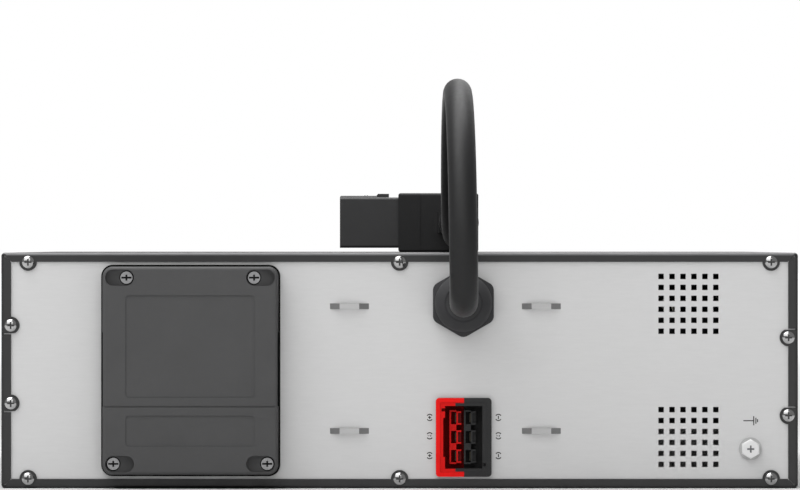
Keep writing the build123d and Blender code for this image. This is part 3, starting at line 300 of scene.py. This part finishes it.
# Painted shade: dark metal in the crosses of the frame screws and the ground screw
SHADED_CROSS_RECESS = bright_metal("painted_shade_cross_recess", (0.09, 0.09, 0.09), 0.5)
SHADED_ZINC_RECESS = bright_metal("painted_shade_zinc_recess", (0.22, 0.22, 0.23), 0.5)
INK = ink()

# Edges sharper than this angle stay sharp, and points nearer than this distance are one
SMOOTH_ANGLE = math.radians(32)
SAME_POINT = 0.001 * MM


def dress_nodes():
    """Gives each CAD node its slot's material and smooths its curved faces."""
    slots = {part["node"]: part["material_slot"] for part in frame["record"]["subparts"]}
    for name, obj in nodes.items():
        obj.data.materials.clear()
        obj.data.materials.append(MATERIALS[slots[name]])
        for polygon in obj.data.polygons:
            polygon.use_smooth = True
        obj.data.set_sharp_from_angle(angle=SMOOTH_ANGLE)


def paint(name, material, chosen):
    """Gives a node's faces their own finish where a test of their middle and normal says so."""
    mesh = nodes[name].data
    mesh.materials.append(material)
    slot = len(mesh.materials) - 1
    for polygon in mesh.polygons:
        if chosen(polygon.center, polygon.normal):
            polygon.material_index = slot


def islands(name):
    """The middles in X and Z of a node's separate solids."""
    shape = bmesh.new()
    shape.from_mesh(nodes[name].data)
    bmesh.ops.remove_doubles(shape, verts=shape.verts, dist=SAME_POINT)
    middles = []
    waiting = set(shape.verts)
    while waiting:
        front = [waiting.pop()]
        group = list(front)
        while front:
            vertex = front.pop()
            for edge in vertex.link_edges:
                other = edge.other_vert(vertex)
                if other in waiting:
                    waiting.remove(other)
                    front.append(other)
                    group.append(other)
        xs = [vertex.co.x for vertex in group]
        zs = [vertex.co.z for vertex in group]
        middles.append(((min(xs) + max(xs)) / 2, (min(zs) + max(zs)) / 2))
    shape.free()
    return middles


# A screw head's recess: its depth and the play in it, and how far it reaches from the screw's axis
SCREW_RECESS = 1.2 * MM
RECESS_PLAY = 0.12 * MM
RECESS_REACH = 2.9 * MM

# How far along an axis a normal points to count as facing along it, square to it, or sloping
FACING = 0.95
SQUARE = 1 - FACING
SLOPING = 0.3


def paint_recesses(name, material):
    """Painted shade in the cross or slot in the head of each screw of a node."""
    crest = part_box(name)[0].y
    middles = islands(name)

    def in_recess(middle, normal):
        near = any(math.hypot(middle.x - x, middle.z - z) < RECESS_REACH for x, z in middles)
        depth = middle.y - crest
        floor = normal.y < -FACING and abs(depth - SCREW_RECESS) < RECESS_PLAY
        wall = abs(normal.y) < SQUARE and depth < SCREW_RECESS
        return near and (floor or wall)

    paint(name, material, in_recess)


# Depths and thicknesses of the CAD pieces whose faces are picked out
BEND_RADIUS = 2.0 * MM
COVER_FLANGE = 2.5 * MM
COVER_POCKET = 5.5 * MM
COUNTERBORE = 1.6 * MM
SOCKET_FLANGE = 3.0 * MM
SOCKET_STEP = 0.6 * MM
SOCKET_COMB = 6.5 * MM
POST_HOLLOW = 2.5 * MM
LEVEL_PLAY = 0.1 * MM


def paint_details():
    """Pieces and faces given painted shade or painted light, and pieces finished apart from their slot's
    material.
    """
    nodes["rear_panel"].data.materials[0] = panel_sheet()
    for name, material in (
        ("fuse_cover_screws", STEEL_SCREW),
        ("ground_screw", ZINC_SCREW),
        ("ground_washer", ZINC_WASHER),
        # Painted light on the seal, against the shade round the lead
        ("gland_seal", LIT_SEAL),
        # Painted shade on the sunk contacts
        ("socket_contacts", SHADED_SUNK_CONTACT),
    ):
        paint(name, material, lambda middle, normal: True)
    # Painted shade in the screws' crosses and slots
    paint_recesses("frame_screws", SHADED_CROSS_RECESS)
    paint_recesses("fuse_cover_screws", SHADED_SCREW_WELL)
    paint_recesses("ground_screw", SHADED_ZINC_RECESS)
    paint_lid_bend()
    paint_fuse_cover()
    paint_socket()
    paint_bridges()


def paint_lid_bend():
    """A painted highlight: the lid's bend into its rear flange gets a lighter coat that stands for the
    light from above.
    """
    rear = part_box("top_cover")[0].y

    def on_bend(middle, normal):
        return middle.y < rear + BEND_RADIUS and normal.z > SQUARE and normal.y < -SQUARE

    paint("top_cover", PAINTED_HIGHLIGHT_BEND, on_bend)


def paint_fuse_cover():
    """Painted shade on its walls and near black painted shade on its flange, painted light on its pocket
    floors, and painted shade in the wells of its screws.
    """
    low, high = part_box("fuse_cover")
    centre = (low + high) / 2
    inner = (high - low) / 2 - Vector((COVER_FLANGE, 0, COVER_FLANGE))
    flange_face = PANEL_FACE - COVER_FLANGE
    pocket_floor = low.y + COVER_POCKET
    well_floor = pocket_floor + COUNTERBORE

    def on_outer_wall(middle, normal):
        beside = abs(middle.x - centre.x) > inner.x
        beyond = abs(middle.z - centre.z) > inner.z
        return (beside or beyond) and abs(normal.y) < SQUARE

    def in_well(middle, normal):
        return pocket_floor + LEVEL_PLAY < middle.y < well_floor + LEVEL_PLAY

    # Painted shade: darker walls and a near black flange on a cover that is one moulding
    paint("fuse_cover", SHADED_COVER_WALL, on_outer_wall)
    paint("fuse_cover", SHADED_COVER_EDGE, lambda middle, normal: middle.y > flange_face - LEVEL_PLAY)
    # Painted light on the pocket floors
    paint("fuse_cover", PAINTED_LIGHT_POCKET_FLOOR, lambda middle, normal: abs(middle.y - pocket_floor) < LEVEL_PLAY)
    # Painted shade in the counterbored wells
    paint("fuse_cover", SHADED_SCREW_WELL, in_well)


def paint_socket():
    """Painted shade in the cavity, wells and key notches of both halves and on the red half's posts, and
    painted light, a lighter red, on the red half's rim.
    """
    face = PANEL_FACE - SOCKET_FLANGE
    comb = face + SOCKET_COMB
    post = comb + POST_HOLLOW

    def in_shade(middle, normal):
        deep = middle.y > post + LEVEL_PLAY
        cavity_wall = abs(normal.y) < FACING and face + SOCKET_STEP < middle.y < comb
        notch_floor = normal.y < -FACING and abs(middle.y - PANEL_FACE) < LEVEL_PLAY
        return deep or cavity_wall or notch_floor

    # Painted shade where the socket's cavity is deep, on its walls and in its key notches
    paint("socket_red_half", SHADED_RED_WELL, in_shade)
    paint("socket_black_half", SHADED_BLACK_WELL, in_shade)
    # Painted light on the red half's front face
    paint("socket_red_half", LIT_RED_RIM, lambda middle, normal: abs(middle.y - face) < LEVEL_PLAY)
    # Painted shade on the red half's posts
    paint("socket_red_half", SHADED_RED_POST, lambda middle, normal: abs(middle.y - post) < LEVEL_PLAY)


def paint_bridges():
    """Painted shade on the slopes and tops of the bridges lanced out of the rear panel."""

    def on_slope(middle, normal):
        return middle.y < PANEL_FACE + LEVEL_PLAY and abs(normal.x) > SLOPING and abs(normal.y) > SLOPING

    def on_top(middle, normal):
        return middle.y < PANEL_FACE - LEVEL_PLAY and normal.y < -FACING

    paint("rear_panel", SHADED_ZINC_SLOPE, on_slope)
    paint("rear_panel", SHADED_ZINC_BRIDGE, on_top)


# Marks printed on the rear panel: the ink's thickness in metres, and the rest in millimetres
INK_PROUD = 0.05 * MM
INK_SUNK = 0.02 * MM
LINE = 0.55
MARK_XS = {"plus": 16.5, "minus": 54.3}
MARK_ROWS = (38.9, 28.8, 17.9)
MIDDLE_ROW = 1
BRACKET_WIDTH = 3.2
BRACKET_RISE = 0.9
BRACKET_HEIGHT = 4.0
BRACKET_STEPS = 10
SIGN_LENGTH = 1.7
DOT_SHIFT = 0.6
DOT_HEIGHT = 0.77
DASH = (1.1, 0.275)
EARTH_STEM = (189.0, 194.4)
EARTH_Z = 37.1
EARTH_BARS = ((194.4, 5.0), (195.6, 3.3), (196.5, 1.6))


def bar(x, z, width, height):
    """The corners of a rectangle on the panel."""
    return [
        (x - width / 2, z - height / 2),
        (x + width / 2, z - height / 2),
        (x + width / 2, z + height / 2),
        (x - width / 2, z + height / 2),
    ]


def bracket(x, z, up):
    """The outline of a bracket arc that bulges up or down."""
    radius = (BRACKET_RISE**2 + (BRACKET_WIDTH / 2) ** 2) / (2 * BRACKET_RISE)
    half = math.asin(BRACKET_WIDTH / 2 / radius)
    centre_z = z + up * (BRACKET_HEIGHT / 2 - radius)
    angles = [half * (2 * step / BRACKET_STEPS - 1) for step in range(BRACKET_STEPS + 1)]

    def arc(size, turns):
        return [(x + size * math.sin(a), centre_z + up * size * math.cos(a)) for a in turns]

    return arc(radius, angles) + arc(radius - LINE, reversed(angles))


def printed_marks():
    """Polarity signs beside the socket, turned as the rest of the panel's print, and the earth symbol."""
    outlines = []
    for kind, x in MARK_XS.items():
        for row, z in enumerate(MARK_ROWS):
            outlines += [bracket(x, z, 1), bracket(x, z, -1)]
            if row == MIDDLE_ROW:
                outlines += [bar(x + DOT_SHIFT, z, LINE, DOT_HEIGHT), bar(x - DOT_SHIFT, z, *DASH)]
                continue
            outlines.append(bar(x, z, LINE, SIGN_LENGTH))
            if kind == "plus":
                shift = (SIGN_LENGTH + LINE) / 4
                arm = (SIGN_LENGTH - LINE) / 2
                outlines += [bar(x - shift, z, arm, LINE), bar(x + shift, z, arm, LINE)]
    outlines.append(bar(sum(EARTH_STEM) / 2, EARTH_Z, EARTH_STEM[1] - EARTH_STEM[0], LINE))
    outlines += [bar(x + LINE / 2, EARTH_Z, LINE, height) for x, height in EARTH_BARS]

    shape = bmesh.new()
    for outline in outlines:
        low = [shape.verts.new((x * MM, PANEL_FACE + INK_SUNK, z * MM)) for x, z in outline]
        high = [shape.verts.new((x * MM, PANEL_FACE - INK_PROUD, z * MM)) for x, z in outline]
        shape.faces.new(low)
        shape.faces.new(reversed(high))
        for i in range(len(outline)):
            j = (i + 1) % len(outline)
            shape.faces.new((low[j], low[i], high[i], high[j]))
    bmesh.ops.recalc_face_normals(shape, faces=shape.faces)
    data = bpy.data.meshes.new("printed_marks")
    shape.to_mesh(data)
    shape.free()
    data.materials.append(INK)
    marks = bpy.data.objects.new("printed_marks", data)
    bpy.context.collection.objects.link(marks)
    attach(marks, "root")


# The free lead: its size in metres, and the same points as the tube's, in millimetres
LEAD_DIAMETER = 15.6 * MM
LEAD_STEPS = 16
LEAD_ROUNDNESS = 10
LEAD_ROUTE = [
    (35.0, -307.3, 101.8),
    (35.0, -323.5, 101.8),
    (34.9, -336.5, 115.0),
    (34.5, -339.0, 145.5),
    (33.8, -322.0, 186.0),
    (32.8, -287.5, 213.5),
    (31.8, -244.0, 220.5),
    (31.2, -202.5, 206.0),
    (31.0, -170.0, 177.0),
    (31.4, -134.5, 151.0),
    (32.2, -92.0, 140.0),
    (33.6, -52.0, 139.2),
    (35.0, -14.0, 147.0),
    (35.0, 13.0, 147.0),
]


def power_lead():
    """The lead's smooth jacket, which stands for the tube from the gland to the plug."""
    data = bpy.data.curves.new("power_lead_jacket", "CURVE")
    data.dimensions = "3D"
    spline = data.splines.new("NURBS")
    spline.points.add(len(LEAD_ROUTE) - 1)
    for point, place in zip(spline.points, LEAD_ROUTE):
        point.co = (*[c * MM for c in place], 1)
    spline.order_u = 3
    spline.use_endpoint_u = True
    spline.resolution_u = LEAD_STEPS
    data.bevel_depth = LEAD_DIAMETER / 2
    data.bevel_resolution = LEAD_ROUNDNESS
    data.use_fill_caps = True
    data.materials.append(MATERIALS["lead_jacket"])
    lead = bpy.data.objects.new("power_lead_jacket", data)
    bpy.context.collection.objects.link(lead)
    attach(lead, "root")
    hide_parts("power_lead")


# The floor's size, and the distances between which it brightens into the white surround, in metres
FLOOR_SIZE = 60
FLOOR_FADE = (1.2, 5.0)

# What the surround shows to the camera, and how it lights the part
SURROUND_SEEN = (1.0, 1.0, 1.0, 1)
SURROUND_LIGHT = (0.28, 0.28, 0.28, 1)

# Soft lights: place and size in metres, power in watts, all aimed at the middle of the part
LIGHT_AIM = Vector((0, 0, 0.08))
LIGHTS = {
    "key": ((-0.6, -1.5, 1.4), (2.8, 1.3), 17),
    "front": ((0.2, -3.6, 0.6), (2.6, 1.2), 7),
    "top": ((-0.15, 0.1, 1.75), (2.8, 1.4), 52),
    "back": ((0.8, 2.8, 1.6), (2.0, 1.4), 10),
}


def pale_floor():
    """A pale floor that glows into white away from the part."""
    finish = Finish("pale_floor", (0.6, 0.6, 0.6), 0.8, specular=0.1)
    finish.mottle(finish.noise(3), 0.01)
    away = finish.node("ShaderNodeVectorMath")
    away.operation = "LENGTH"
    finish.link(finish.coordinates, away.inputs[0])
    fade = finish.node("ShaderNodeMapRange", From_Min=FLOOR_FADE[0], From_Max=FLOOR_FADE[1])
    finish.link(away.outputs["Value"], fade.inputs["Value"])
    finish.shader.inputs["Emission Color"].default_value = (1, 1, 1, 1)
    finish.link(fade.outputs["Result"], finish.shader.inputs["Emission Strength"])
    return finish.material


def stage():
    """A plain pale floor, a white surround, and soft lights from the upper left, front, top and back."""
    bpy.ops.mesh.primitive_plane_add(size=FLOOR_SIZE)
    floor = bpy.context.object
    floor.name = "floor"
    floor.data.materials.append(pale_floor())

    world = bpy.data.worlds.new("studio")
    world.use_nodes = True
    tree = world.node_tree
    path = tree.nodes.new("ShaderNodeLightPath")
    mix = tree.nodes.new("ShaderNodeMix")
    mix.data_type = "RGBA"
    mix.inputs["A"].default_value = SURROUND_LIGHT
    mix.inputs["B"].default_value = SURROUND_SEEN
    tree.links.new(path.outputs["Is Camera Ray"], mix.inputs["Factor"])
    tree.links.new(mix.outputs["Result"], tree.nodes["Background"].inputs["Color"])
    bpy.context.scene.world = world

    for name, (place, size, energy) in LIGHTS.items():
        data = bpy.data.lights.new(name, "AREA")
        data.shape = "RECTANGLE"
        data.size, data.size_y = size
        data.energy = energy
        light = bpy.data.objects.new(name, data)
        light.location = place
        light.rotation_euler = (LIGHT_AIM - Vector(place)).to_track_quat("-Z", "Y").to_euler()
        bpy.context.collection.objects.link(light)


camera()
dress_nodes()
paint_details()
power_lead()
printed_marks()
stage()

scene = bpy.context.scene
scene.view_settings.view_transform = "Standard"
scene.view_settings.look = "None"
